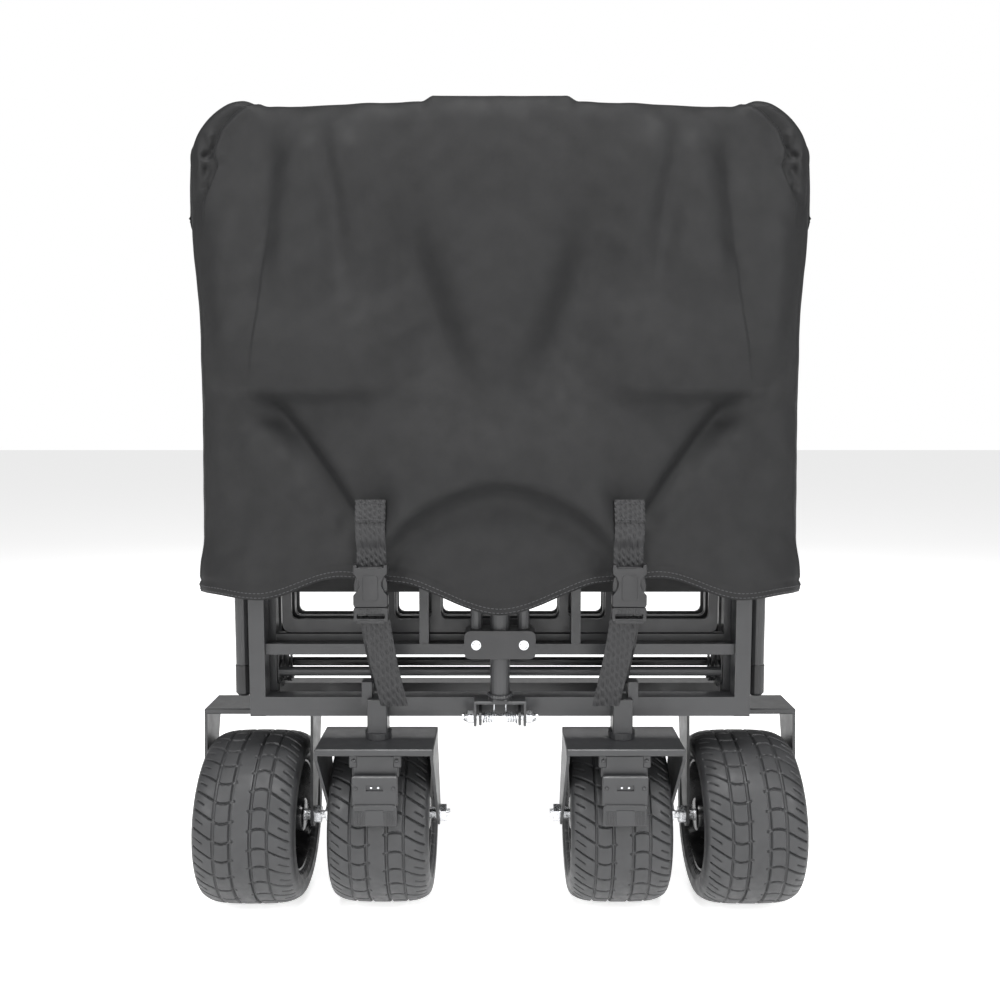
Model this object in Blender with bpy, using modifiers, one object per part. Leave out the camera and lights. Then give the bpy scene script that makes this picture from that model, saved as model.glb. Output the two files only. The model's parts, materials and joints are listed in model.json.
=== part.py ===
"""A folding camp wagon, folded up for storage under its fabric cover. Metres, +Z up, front towards -Y.

Each side carries two scissors. Folded, every strut stands upright between the two end frames. Opening, the
struts lean over, the rear frame rolls straight back, and the telescoping posts sink into the corner posts.
"""

import math

import bmesh
import bpy
from mathutils import Matrix, Vector

# Wheels
TYRE_RADIUS = 0.0900
TYRE_WIDTH = 0.1040
RIM_RADIUS = 0.0600
WHEEL_STEPS = 20
AXLE_RADIUS = 0.0060
BORE_GAP = 0.0004
CASTER_X = 0.1240
CASTER_AXLE_Y = 0.0040
SWIVEL_Y = -0.0570
REAR_WHEEL_X = 0.2600
REAR_AXLE_Y = 0.0000
FORK_WIDTH = 0.1174
LEG_THICK = 0.0030
PEDAL_PIVOT = (-0.0890, 0.1650)

# End frames
POST_X = 0.2490
POST_SIZE = (0.0160, 0.0200)
POST_WALL = 0.0017
FRAME_Y = 0.0370
FRAME_BOTTOM = 0.2145
FRAME_TOP = 0.5560
BAR = 0.0200

# Scissors: PIVOT_Z is the level of the lower pivots, STRUT the distance from a lower to an upper pivot
PIVOT_Z = 0.2440
STRUT = 0.5560
HALF_GAP = 0.0120
TOP_Z = PIVOT_Z + STRUT
INNER_X = 0.2405
OUTER_X = 0.2720
OUTER_RADIUS = 0.0080
STUD = 0.0030
HOLE = 0.0034

# Handle
HANDLE_Y = -0.0670
HANDLE_PIVOT_Z = 0.2200
HANDLE_TUBE = 0.0098
ROD_X = 0.0235
ROD_RADIUS = 0.0059
GRIP_Z = 0.8080

# The whole wagon is moved back by this, so that the origin is under the middle of its box
BASE_Y = 0.00765

# Cover and straps
COVER_HALF = (0.3010, 0.0980, 0.0570)
COVER_Z = (0.3310, 0.8280)
COVER_THICK = 0.0025
STRAP_X = 0.1235
STRAP_WIDTH = 0.0285

MATERIALS = {
    "painted_steel": ((0.075, 0.078, 0.082), 0.42, 0.6),
    "zinc": ((0.75, 0.75, 0.76), 0.30, 1.0),
    "black_plastic": ((0.018, 0.018, 0.020), 0.45, 0.0),
    "rubber": ((0.045, 0.045, 0.048), 0.75, 0.0),
    "fabric": ((0.030, 0.031, 0.034), 0.85, 0.0),
    "webbing": ((0.025, 0.025, 0.028), 0.90, 0.0),
}


def clear_scene():
    for old in list(bpy.data.objects):
        bpy.data.objects.remove(old, do_unlink=True)


def collection(name, hidden=False):
    made = bpy.data.collections.new(name)
    made.hide_render = hidden
    bpy.context.scene.collection.children.link(made)
    return made


def material(name):
    found = bpy.data.materials.get(name)
    if found:
        return found
    color, roughness, metallic = MATERIALS[name]
    made = bpy.data.materials.new(name)
    made.use_nodes = True
    shader = made.node_tree.nodes["Principled BSDF"]
    shader.inputs["Base Color"].default_value = (*color, 1.0)
    shader.inputs["Roughness"].default_value = roughness
    shader.inputs["Metallic"].default_value = metallic
    return made


clear_scene()
WAGON = collection("folding_camp_wagon")


# ---- shapes: each function returns a loose mesh object, in world coordinates ----


def from_bmesh(bm):
    mesh = bpy.data.meshes.new("shape")
    bmesh.ops.recalc_face_normals(bm, faces=bm.faces[:])
    bm.to_mesh(mesh)
    bm.free()
    made = bpy.data.objects.new("shape", mesh)
    WAGON.objects.link(made)
    return made


def box(low, high, bevel=0.0, segments=1):
    """A block between two corners, with its edges bevelled."""
    low = Vector(low)
    high = Vector(high)
    bm = bmesh.new()
    bmesh.ops.create_cube(bm, size=1.0)
    bmesh.ops.scale(bm, vec=high - low, verts=bm.verts)
    bmesh.ops.translate(bm, vec=(low + high) / 2, verts=bm.verts)
    if bevel:
        bmesh.ops.bevel(bm, geom=bm.edges[:], offset=bevel, segments=segments, affect="EDGES", profile=0.5)
    return from_bmesh(bm)


def rod(start, end, radius, sides=16, end_radius=None):
    """A round bar or a cone between two points."""
    start = Vector(start)
    along = Vector(end) - start
    bm = bmesh.new()
    bmesh.ops.create_cone(
        bm,
        cap_ends=True,
        segments=sides,
        radius1=radius,
        radius2=radius if end_radius is None else end_radius,
        depth=along.length,
    )
    turn = along.to_track_quat("Z", "Y").to_matrix().to_4x4()
    place = Matrix.Translation(start + along / 2) @ turn
    bmesh.ops.transform(bm, matrix=place, verts=bm.verts)
    return from_bmesh(bm)


def baked(obj):
    """The same object with its modifiers or its curve made into a plain welded mesh."""
    bpy.context.view_layer.update()
    graph = bpy.context.evaluated_depsgraph_get()
    mesh = bpy.data.meshes.new_from_object(obj.evaluated_get(graph))
    mesh.transform(obj.matrix_world)
    bm = bmesh.new()
    bm.from_mesh(mesh)
    bmesh.ops.remove_doubles(bm, verts=bm.verts, dist=1e-6)
    bpy.data.meshes.remove(mesh)
    bpy.data.objects.remove(obj, do_unlink=True)
    return from_bmesh(bm)


def plate(outline, thickness, middle, normal, holes=()):
    """A flat outline of given thickness. normal X takes (y, z) points, Y takes (x, z), Z takes (x, y)."""
    curve = bpy.data.curves.new("outline", "CURVE")
    curve.dimensions = "2D"
    curve.fill_mode = "BOTH"
    curve.extrude = thickness / 2
    for ring in (outline, *holes):
        spline = curve.splines.new("POLY")
        spline.points.add(len(ring) - 1)
        for point, (a, b) in zip(spline.points, ring):
            point.co = (a, b, 0.0, 1.0)
        spline.use_cyclic_u = True
    made = bpy.data.objects.new("outline", curve)
    WAGON.objects.link(made)
    axes = {
        "X": ((0, 1, 0), (0, 0, 1), (1, 0, 0)),
        "Y": ((1, 0, 0), (0, 0, 1), (0, -1, 0)),
        "Z": ((1, 0, 0), (0, 1, 0), (0, 0, 1)),
    }[normal]
    turn = Matrix(axes).transposed().to_4x4()
    shift = {"X": (middle, 0, 0), "Y": (0, middle, 0), "Z": (0, 0, middle)}[normal]
    made.matrix_world = Matrix.Translation(shift) @ turn
    return baked(made)


def arc(centre, radius, start, end, steps):
    """Points of an arc, angles in degrees."""
    angles = [math.radians(start + (end - start) * n / steps) for n in range(steps + 1)]
    return [(centre[0] + radius * math.cos(a), centre[1] + radius * math.sin(a)) for a in angles]


def rounded(low, high, radius, steps=3):
    """The outline of a rectangle with round corners."""
    corners = (
        ((high[0] - radius, high[1] - radius), 0),
        ((low[0] + radius, high[1] - radius), 90),
        ((low[0] + radius, low[1] + radius), 180),
        ((high[0] - radius, low[1] + radius), 270),
    )
    return [p for centre, start in corners for p in arc(centre, radius, start, start + 90, steps)]


def ring_of(profile, centre, steps=WHEEL_STEPS):
    """A closed profile of (radius, along X) points turned round the X axis through centre."""
    mesh = bpy.data.meshes.new("profile")
    count = len(profile)
    mesh.from_pydata([(r, 0.0, -x) for r, x in profile], [(n, (n + 1) % count) for n in range(count)], [])
    made = bpy.data.objects.new("profile", mesh)
    WAGON.objects.link(made)
    screw = made.modifiers.new("turn", "SCREW")
    screw.steps = steps
    screw.render_steps = steps
    screw.use_merge_vertices = True
    screw.merge_threshold = 1e-6
    half_step = math.pi / steps
    made.matrix_world = (
        Matrix.Translation(centre) @ Matrix.Rotation(math.pi / 2, 4, "Y") @ Matrix.Rotation(half_step, 4, "Z")
    )
    return baked(made)


def wire(points, radius, resolution=2, closed=False):
    """A round wire or tube along points."""
    curve = bpy.data.curves.new("wire", "CURVE")
    curve.dimensions = "3D"
    curve.bevel_depth = radius
    curve.bevel_resolution = resolution
    curve.use_fill_caps = not closed
    spline = curve.splines.new("POLY")
    spline.points.add(len(points) - 1)
    for point, place in zip(spline.points, points):
        point.co = (*place, 1.0)
    spline.use_cyclic_u = closed
    made = bpy.data.objects.new("wire", curve)
    WAGON.objects.link(made)
    return baked(made)


def boolean(target, tool, operation):
    change = target.modifiers.new(operation.lower(), "BOOLEAN")
    change.operation = operation
    change.object = tool
    made = baked(target)
    bpy.data.objects.remove(tool, do_unlink=True)
    return made


def joined(shapes, cuts=()):
    """Overlapping shapes made one body, then cut."""
    made = shapes[0]
    for shape in shapes[1:]:
        made = boolean(made, shape, "UNION")
    for cut in cuts:
        made = boolean(made, cut, "DIFFERENCE")
    return made


def node(name, shape, finish, smooth=35.0):
    """Names a shape as a part of the wagon and gives it its material."""
    shape.name = name
    shape.data.name = name
    shape.data.materials.append(material(finish))
    shape.data.shade_smooth()
    shape.data.set_sharp_from_angle(angle=math.radians(smooth))
    return shape


def span(a, b, *rest):
    """Two corners with their values sorted, so that a mirrored block stays the right way round."""
    low = [min(p) for p in zip(a, b)]
    high = [max(p) for p in zip(a, b)]
    return (tuple(low), tuple(high), *rest)


def x_rod(x0, x1, y, z, radius, sides=12):
    return rod((x0, y, z), (x1, y, z), radius, sides)


# ---- wheels, forks and brakes ----


def tyre(name, x, y):
    half = TYRE_WIDTH / 2
    outer = TYRE_RADIUS / math.cos(math.pi / WHEEL_STEPS)
    profile = [
        (outer, -0.028),
        (outer, 0.028),
        (outer - 0.0014, 0.041),
        (outer - 0.0055, half - 0.0030),
        (outer - 0.0120, half),
        (RIM_RADIUS + 0.0060, half - 0.0020),
        (RIM_RADIUS + 0.0004, half - 0.0070),
        (RIM_RADIUS + 0.0004, -half + 0.0070),
        (RIM_RADIUS + 0.0060, -half + 0.0020),
        (outer - 0.0120, -half),
        (outer - 0.0055, -half + 0.0030),
        (outer - 0.0014, -0.041),
    ]
    return node(name, ring_of(profile, (x, y, TYRE_RADIUS)), "rubber")


def rim(name, x, y):
    """A dished rim: hub, web and barrel in one."""
    half = TYRE_WIDTH / 2
    profile = [
        (RIM_RADIUS, -half + 0.0075),
        (RIM_RADIUS, half - 0.0075),
        (RIM_RADIUS - 0.0045, half - 0.0085),
        (RIM_RADIUS - 0.0075, 0.012),
        (0.0190, 0.009),
        (0.0170, half - 0.004),
        (AXLE_RADIUS + BORE_GAP, half - 0.004),
        (AXLE_RADIUS + BORE_GAP, -half + 0.004),
        (0.0170, -half + 0.004),
        (0.0190, -0.009),
        (RIM_RADIUS - 0.0075, -0.012),
        (RIM_RADIUS - 0.0045, -half + 0.0085),
    ]
    return node(name, ring_of(profile, (x, y, TYRE_RADIUS)), "black_plastic")


def axle(name, x, y):
    reach = FORK_WIDTH / 2
    shaft = x_rod(x - reach - 0.004, x + reach + 0.004, y, TYRE_RADIUS, AXLE_RADIUS)
    heads = [
        x_rod(x + s * (reach + 0.0004), x + s * (reach + 0.0070), y, TYRE_RADIUS, 0.0098, 6)
        for s in (-1, 1)
    ]
    tip = x_rod(x, x + math.copysign(reach + 0.0110, -x), y, TYRE_RADIUS, 0.0045, 10)
    return node(name, joined([shaft, *heads, tip]), "zinc")


def fork(name, x, plate_y, plate_z, axle_y, lip):
    """A flat top plate bent down into two legs that narrow towards the axle. plate_z is the top."""
    half = FORK_WIDTH / 2
    front, back = plate_y
    eye = 0.0125
    top = box((x - half, front, plate_z - lip), (x + half, back, plate_z), 0.0010)
    outline = [(front + 0.0003, plate_z - 0.002), (front + 0.0003, plate_z - lip - 0.004)]
    outline += arc((axle_y, TYRE_RADIUS), eye, 200, 360, 6)
    outline += [(back - 0.0003, plate_z - lip - 0.004), (back - 0.0003, plate_z - 0.002)]
    legs = [plate(outline, LEG_THICK, x + s * (half - 0.0002 - LEG_THICK / 2), "X") for s in (-1, 1)]
    bore = x_rod(x - half - 0.01, x + half + 0.01, axle_y, TYRE_RADIUS, AXLE_RADIUS + BORE_GAP)
    return node(name, joined([top, *legs], [bore]), "painted_steel")


def brake(side, x):
    """A housing under the fork plate and the pedal hinged in front of it."""
    body = box((x - 0.0235, -0.0850, 0.1625), (x + 0.0235, -0.0620, 0.1872), 0.0020)
    lugs = [
        box((x + s * 0.022 - 0.004, -0.0860, 0.1740), (x + s * 0.022 + 0.004, -0.0800, 0.1870), 0.001)
        for s in (-1, 1)
    ]
    node("brake_housing_" + side, joined([body, *lugs]), "painted_steel")
    face = box((x - 0.0230, -0.0925, 0.1370), (x + 0.0230, -0.0880, 0.1675), 0.0012)
    foot = box((x - 0.0220, -0.0940, 0.1170), (x + 0.0220, -0.0885, 0.1380), 0.0012)
    hinge = x_rod(x - 0.0205, x + 0.0205, *PEDAL_PIVOT, 0.0030)
    slot = box((x - 0.0085, -0.0945, 0.1530), (x + 0.0085, -0.0909, 0.1590))
    node("brake_pedal_" + side, joined([face, foot, hinge], [slot]), "painted_steel")


def wheels():
    for side, s in (("left", -1), ("right", 1)):
        x = s * CASTER_X
        fork("caster_fork_" + side, x, (-0.0950, -0.0240), 0.1960, CASTER_AXLE_Y, 0.0070)
        tyre("caster_tyre_" + side, x, CASTER_AXLE_Y)
        rim("caster_rim_" + side, x, CASTER_AXLE_Y)
        axle("caster_axle_" + side, x, CASTER_AXLE_Y)
        brake(side, x)
        x = s * REAR_WHEEL_X
        fork("rear_wheel_bracket_" + side, x, (-0.0020, 0.0500), 0.2080, REAR_AXLE_Y, 0.0060)
        tyre("rear_tyre_" + side, x, REAR_AXLE_Y)
        rim("rear_rim_" + side, x, REAR_AXLE_Y)
        axle("rear_axle_" + side, x, REAR_AXLE_Y)


# ---- end frames ----


def end_frame(way, bar_bottom):
    """The shapes and cuts of an end frame. way is -1 at the front and 1 at the rear."""
    y = way * FRAME_Y
    half_x, half_y = POST_SIZE[0] / 2, POST_SIZE[1] / 2
    shapes = [
        box((-POST_X - 0.001, y - half_y, bar_bottom), (POST_X + 0.001, y + half_y, bar_bottom + BAR)),
        box((-POST_X, y - 0.008, FRAME_TOP - 0.018), (POST_X, y + 0.008, FRAME_TOP - 0.002)),
        box((-POST_X, y - 0.0055, 0.2777), (POST_X, y + 0.0055, 0.2889)),
    ]
    cuts = []
    for s in (-1, 1):
        post = (s * POST_X, y)
        shapes += [
            box(
                (post[0] - half_x, y - half_y, bar_bottom - 0.0004),
                (post[0] + half_x, y + half_y, FRAME_TOP),
            ),
            box(*span((s * 0.0732, y - 0.005, 0.2850), (s * 0.0828, y + 0.005, 0.5450))),
            box(*span((s * 0.2470, y - way * 0.0090, 0.2340), (s * 0.2510, way * 0.0060, 0.2540))),
            x_rod(s * 0.2490, s * 0.2333, way * HALF_GAP, PIVOT_Z, STUD),
        ]
        wall = POST_WALL
        low = (post[0] - half_x + wall, y - half_y + wall, bar_bottom + BAR + 0.004)
        high = (post[0] + half_x - wall, y + half_y - wall, FRAME_TOP + 0.01)
        cuts.append(box(low, high))
    return shapes, cuts


def front_frame():
    shapes, cuts = end_frame(-1, FRAME_BOTTOM)
    for s in (-1, 1):
        x = s * CASTER_X
        shapes += [
            box((x - 0.010, SWIVEL_Y - 0.010, 0.2005), (x + 0.010, SWIVEL_Y + 0.014, 0.2374), 0.0008),
            rod((x, SWIVEL_Y, 0.1964), (x, SWIVEL_Y, 0.2030), 0.0135, 20),
            box(*span((s * 0.1300, -0.0600, 0.2300), (s * 0.1400, -0.0450, 0.2537))),
        ]
        ear = [(-0.0450, 0.2100), (-0.0450, 0.2320), (-0.0600, 0.2320)]
        ear += arc((HANDLE_Y, HANDLE_PIVOT_Z), 0.0085, 90, 270, 8)
        hole = arc((HANDLE_Y, HANDLE_PIVOT_Z), 0.0037, 0, 330, 11)
        shapes.append(plate(ear, 0.0026, s * 0.0198, "X", [hole]))
    node("front_frame", joined(shapes, cuts), "painted_steel")


def rear_frame():
    shapes, cuts = end_frame(1, 0.2085)
    node("rear_frame", joined(shapes, cuts), "painted_steel")


# ---- scissor struts and telescoping posts ----


def inner_strut(name, s, way):
    """The square strut that stands on an end frame. Its eye meets the other strut's on the mid plane."""
    y = way * HALF_GAP
    eye_x = s * (INNER_X + (0.0027 if way < 0 else -0.0027))
    shapes = [
        box((s * INNER_X - 0.005, y - 0.0058, 0.2300), (s * INNER_X + 0.005, y + 0.0058, TOP_Z - 0.0100)),
        plate(
            [(y - 0.004, TOP_Z - 0.030), (y + 0.004, TOP_Z - 0.030), *eye_outline(way)],
            0.0036,
            eye_x,
            "X",
        ),
        x_rod(s * (INNER_X + 0.0010), s * (OUTER_X + 0.0105), way * HALF_GAP / 2, PIVOT_Z + STRUT / 2, STUD),
        x_rod(
            s * (INNER_X - 0.0047), s * (OUTER_X - 0.0086), way * HALF_GAP / 2, PIVOT_Z + STRUT / 2, 0.0044
        ),
    ]
    cuts = [x_rod(s * INNER_X - 0.01, s * INNER_X + 0.01, y, PIVOT_Z, HOLE)]
    if way < 0:
        shapes.append(x_rod(eye_x, s * (INNER_X - 0.0060), 0.0, TOP_Z, STUD))
    else:
        cuts.append(x_rod(s * INNER_X - 0.01, s * INNER_X + 0.01, 0.0, TOP_Z, HOLE))
    node(name, joined(shapes, cuts), "painted_steel")


def eye_outline(way):
    """The top of a strut's eye plate, from its inner side round the hinge and back, anticlockwise."""
    y = way * HALF_GAP
    if way < 0:
        return [*arc((0.0, TOP_Z), 0.0065, -50, 140, 9), (y - 0.003, TOP_Z - 0.014)]
    return [(y + 0.003, TOP_Z - 0.014), *arc((0.0, TOP_Z), 0.0065, 40, 230, 9)]


def outer_frame(way):
    """Two round struts joined by a cross tube under the floor, hung from brackets beside the struts."""
    end = "front" if way < 0 else "rear"
    y = way * HALF_GAP
    eye_x = 0.23275 if way < 0 else 0.22975
    tube_x = eye_x - 0.0006
    tube_at = (way * 0.0205, 0.2545)
    shapes = [rod((-tube_x, *tube_at), (tube_x, *tube_at), 0.0050, 12)]
    cuts = []
    for s in (-1, 1):
        arm = [(way * 0.0010, 0.2402), (way * 0.0063, 0.2402), (way * 0.0063, 0.2700), (way * 0.0010, 0.2700)]
        hanger = [
            (way * 0.0020, 0.2412),
            (way * 0.0220, 0.2490),
            (way * 0.0220, 0.2590),
            (way * 0.0020, 0.2650),
        ]
        shapes += [
            plate(arm, 0.0025, s * eye_x, "X"),
            plate(hanger, 0.0014, s * (eye_x - 0.0005), "X"),
            x_rod(s * (eye_x - 0.0011), s * (eye_x + 0.0011), 0.0, PIVOT_Z, 0.0053, 14),
            box(*span((s * (eye_x - 0.0009), way * 0.0013, 0.2620), (s * OUTER_X, way * 0.0057, 0.2690))),
            rod((s * OUTER_X, y, 0.2601), (s * OUTER_X, y, 0.8100), OUTER_RADIUS, 16),
        ]
        cuts += [
            x_rod(s * 0.2600, s * 0.2850, way * HALF_GAP / 2, PIVOT_Z + STRUT / 2, HOLE + 0.0003),
            x_rod(s * 0.2600, s * 0.2850, y, TOP_Z, HOLE),
        ]
        if way < 0:
            shapes.append(x_rod(s * eye_x, s * 0.2215, 0.0, PIVOT_Z, 0.0025))
        else:
            cuts.append(x_rod(s * 0.2200, s * 0.2350, 0.0, PIVOT_Z, 0.0029))
        foot_end = 0.2270 if way < 0 else 0.2480
        foot = joined(
            [
                rod((s * OUTER_X, y, foot_end + 0.0030), (s * OUTER_X, y, 0.2598), 0.0087, 16),
                rod((s * OUTER_X, y, foot_end), (s * OUTER_X, y, foot_end + 0.0031), 0.0060, 16, 0.0087),
            ]
        )
        node(f"strut_foot_{end}_{'left' if s < 0 else 'right'}", foot, "black_plastic")
    node("outer_struts_" + end, joined(shapes, cuts), "painted_steel")


def telescoping_post(name, s, way):
    """The bar that slides in a corner post, with the corner block that the outer strut hangs from."""
    y = way * FRAME_Y
    shapes = [
        box((s * POST_X - 0.0056, y - 0.0076, 0.4900), (s * POST_X + 0.0056, y + 0.0076, 0.7900)),
        box(*span((s * 0.2465, y + way * 0.010, 0.7862), (s * 0.2625, way * 0.0050, 0.8120)), 0.0020),
        x_rod(s * 0.2550, s * 0.2825, way * HALF_GAP, TOP_Z, STUD),
    ]
    node(name, joined(shapes), "painted_steel")


def struts():
    for end, way in (("front", -1), ("rear", 1)):
        outer_frame(way)
        for side, s in (("left", -1), ("right", 1)):
            inner_strut(f"inner_strut_{end}_{side}", s, way)
            telescoping_post(f"telescoping_post_{end}_{side}", s, way)


# ---- floor ----

PANEL_BARS = ((0.2183, 0.2277), (0.1100, 0.1380), (0.0620, 0.0715))
PANEL_RAIL = 0.0140


def panel(half_width, low, high, thick, y):
    """A flat floor panel with round corners and a row of windows between its upright bars."""
    bar_edges = {s * edge for inner, outer in PANEL_BARS for s in (-1, 1) for edge in (inner, outer)}
    edges = sorted(bar_edges)[1:-1]
    cuts = []
    for n in range(0, len(edges), 2):
        ring = rounded((edges[n], low + PANEL_RAIL), (edges[n + 1], high - PANEL_RAIL), 0.006)
        cuts.append(plate(ring, thick * 3, y, "Y"))
    return joined([plate(rounded((-half_width, low), (half_width, high), 0.008), thick, y, "Y")], cuts)


def lug(x, start_y, pivot_y, reach, hole, thick, foot=0.0055):
    """A side lug from a pivot on the lower pivot level up to a floor piece."""
    ring = arc((pivot_y, PIVOT_Z), foot, 180, 360, 8)
    ring += [
        (start_y[1], PIVOT_Z + 0.012),
        (start_y[1], reach),
        (start_y[0], reach),
        (start_y[0], PIVOT_Z + 0.012),
    ]
    return plate(ring, thick, x, "X", [arc((pivot_y, PIVOT_Z), hole, 0, 330, 11)])


def floor_half(end, way):
    y = way * 0.0200
    tube = box(*span((-0.2346, y - 0.005, 0.2848), (0.2346, y + 0.005, 0.2960)), 0.0008)
    sides = [
        lug(s * 0.2341, sorted((y - way * 0.002, way * 0.0120)), way * HALF_GAP, 0.2960, HOLE, 0.0014)
        for s in (-1, 1)
    ]
    node("floor_tube_" + end, joined([tube, *sides]), "painted_steel")
    node("floor_panel_" + end, panel(0.2277, 0.2963, 0.5410, 0.0040, y), "black_plastic")

    y = way * 0.0025
    flap = panel(0.2220, 0.2963, 0.4200, 0.0036, y)
    lug_x = 0.2270 if way < 0 else 0.2245
    lug_depth = sorted((way * 0.0007, way * 0.0043))
    lugs = [lug(s * lug_x, lug_depth, 0.0, 0.3100, 0.0029, 0.0020) for s in (-1, 1)]
    ties = [
        box(*span((s * (lug_x + 0.0004), way * 0.0011, 0.2990), (s * 0.2200, way * 0.0039, 0.3080)))
        for s in (-1, 1)
    ]
    node("floor_flap_" + end, joined([flap, *lugs, *ties]), "black_plastic")


# ---- handle ----


def handle():
    top = 0.2385
    yoke = [
        box((-0.0262, HANDLE_Y - 0.0095, top - 0.003), (0.0262, HANDLE_Y + 0.0095, top), 0.0006),
        rod((0, HANDLE_Y, top - 0.001), (0, HANDLE_Y, 0.7000), HANDLE_TUBE, 20),
        rod((0, HANDLE_Y, top - 0.0005), (0, HANDLE_Y, top + 0.0045), 0.0128, 20, HANDLE_TUBE),
    ]
    for s in (-1, 1):
        leg = [(HANDLE_Y + 0.0095, top - 0.001), (HANDLE_Y - 0.0095, top - 0.001)]
        leg += arc((HANDLE_Y, HANDLE_PIVOT_Z), 0.0095, 180, 360, 8)
        hole = arc((HANDLE_Y, HANDLE_PIVOT_Z), 0.0037, 0, 330, 11)
        yoke.append(plate(leg, 0.0026, s * 0.0249, "X", [hole]))
    node("handle_tube", joined(yoke), "painted_steel")

    bolt = [x_rod(-0.0380, 0.0380, HANDLE_Y, HANDLE_PIVOT_Z, 0.0033)]
    bolt += [x_rod(s * 0.0266, s * 0.0325, HANDLE_Y, HANDLE_PIVOT_Z, 0.0066, 6) for s in (-1, 1)]
    bolt += [
        rod(
            (s * 0.0320, HANDLE_Y, HANDLE_PIVOT_Z),
            (s * 0.0365, HANDLE_Y, HANDLE_PIVOT_Z),
            0.0055,
            12,
            0.0035,
        )
        for s in (-1, 1)
    ]
    node("handle_pivot_bolt", joined(bolt), "zinc")

    node("handle_spring", wire(spring_path(), 0.0010), "zinc")

    guide = joined(
        [box((-0.0340, HANDLE_Y - 0.0130, 0.7003), (0.0340, HANDLE_Y + 0.0130, 0.7250), 0.0030)],
        [
            rod((s * ROD_X, HANDLE_Y, 0.69), (s * ROD_X, HANDLE_Y, 0.74), ROD_RADIUS + 0.0006, 16)
            for s in (-1, 1)
        ],
    )
    node("handle_guide", guide, "black_plastic")

    low, high = 0.2831, 0.3113
    clamp_shape = plate(rounded((-0.0352, low), (0.0352, high), 0.006), 0.0290, HANDLE_Y - 0.001, "Y")
    clamp_cuts = [rod((0, HANDLE_Y, low - 0.01), (0, HANDLE_Y, high + 0.01), HANDLE_TUBE + 0.0005, 20)]
    clamp_cuts += [
        rod((s * ROD_X, HANDLE_Y, low + 0.005), (s * ROD_X, HANDLE_Y, high + 0.01), ROD_RADIUS + 0.0003, 16)
        for s in (-1, 1)
    ]
    node("handle_clamp", joined([clamp_shape], clamp_cuts), "black_plastic")

    top_z = GRIP_Z - 0.004
    corner = 0.020
    route = [(-ROD_X, low + 0.0054)]
    route += [(x, z) for x, z in arc((-ROD_X + corner, top_z - corner), corner, 180, 90, 5)]
    route += [(-x, z) for x, z in reversed(route)]
    rods = wire([(x, HANDLE_Y, z) for x, z in route], ROD_RADIUS, 3)
    node("handle_rods", rods, "painted_steel")

    grip_low = (-0.0620, HANDLE_Y - 0.0150, GRIP_Z - 0.0130)
    grip_high = (0.0620, HANDLE_Y + 0.0150, GRIP_Z + 0.0140)
    grip = box(grip_low, grip_high, 0.0070, 2)
    space = [
        box((-0.0330, HANDLE_Y - 0.0066, GRIP_Z - 0.0300), (0.0330, HANDLE_Y + 0.0066, GRIP_Z + 0.0026)),
        box((-0.0095, HANDLE_Y - 0.0200, GRIP_Z + 0.0050), (0.0095, HANDLE_Y - 0.0110, GRIP_Z + 0.0105)),
    ]
    node("handle_grip", joined([grip], space), "black_plastic")
    button_low = (-0.0090, HANDLE_Y - 0.0165, GRIP_Z + 0.0055)
    button_high = (0.0090, HANDLE_Y - 0.0125, GRIP_Z + 0.0100)
    button = box(button_low, button_high, 0.0008)
    node("grip_button", button, "painted_steel")


def spring_path():
    """One wire: a coil each side of the middle, joined by a bridge that bears on the yoke's top."""
    turns, per_turn = 4, 7
    radius, pitch = 0.0049, 0.0026
    half = []
    for n in range(turns * per_turn + 1):
        angle = 2 * math.pi * n / per_turn
        x = 0.0062 + pitch * n / per_turn
        half.append((x, HANDLE_Y + radius * math.cos(angle), HANDLE_PIVOT_Z + radius * math.sin(angle)))
    half.append((half[-1][0], HANDLE_Y + radius, HANDLE_PIVOT_Z - 0.0085))
    half.insert(0, (0.0058, HANDLE_Y + radius, HANDLE_PIVOT_Z + 0.0125))
    return [(-x, y, z) for x, y, z in reversed(half)] + half


# ---- cover, straps and tub ----


def cover():
    half_x, front, back = COVER_HALF
    low, high = COVER_Z
    outer = box((-half_x, -front, low), (half_x, back, high), 0.014, 2)
    t = COVER_THICK
    inner = box((-half_x + t, -front + t, low - 0.05), (half_x - t, back - t, high - t), 0.012, 2)
    skirt = box((-half_x - 0.01, -front - 0.01, low - 0.001), (half_x + 0.01, back + 0.01, low + 0.014))
    node("cover", joined([outer], [inner, skirt]), "fabric")


def strap(side, s):
    x = s * STRAP_X
    half = STRAP_WIDTH / 2
    y = -COVER_HALF[1] - 0.0003
    node("cover_strap_" + side, box((x - half, y - 0.0024, 0.3815), (x + half, y, 0.4420)), "webbing")
    female = box((x - 0.0165, y - 0.0110, 0.3405), (x + 0.0165, y, 0.3812), 0.0020)
    waist = [
        box(*span((x + n * 0.0143, y - 0.02, 0.3530), (x + n * 0.0200, y + 0.01, 0.3700)))
        for n in (-1, 1)
    ]
    node("buckle_socket_" + side, joined([female], waist), "black_plastic")
    male = box((x - 0.0165, y - 0.0095, 0.3255), (x + 0.0165, y - 0.0010, 0.3402), 0.0012)
    slot = box((x - half + 0.0010, y - 0.02, 0.3290), (x + half - 0.0010, y + 0.01, 0.3330))
    node("buckle_plug_" + side, joined([male], [slot]), "black_plastic")
    tail = [(y - 0.0055, 0.3252), (-0.0800, 0.2720), (-0.0730, 0.2350)]
    thick = 0.0018
    outline = tail + [(a + thick, b) for a, b in reversed(tail)]
    node("strap_tail_" + side, plate(outline, STRAP_WIDTH, x + 0.003 * -s, "X"), "webbing")


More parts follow.
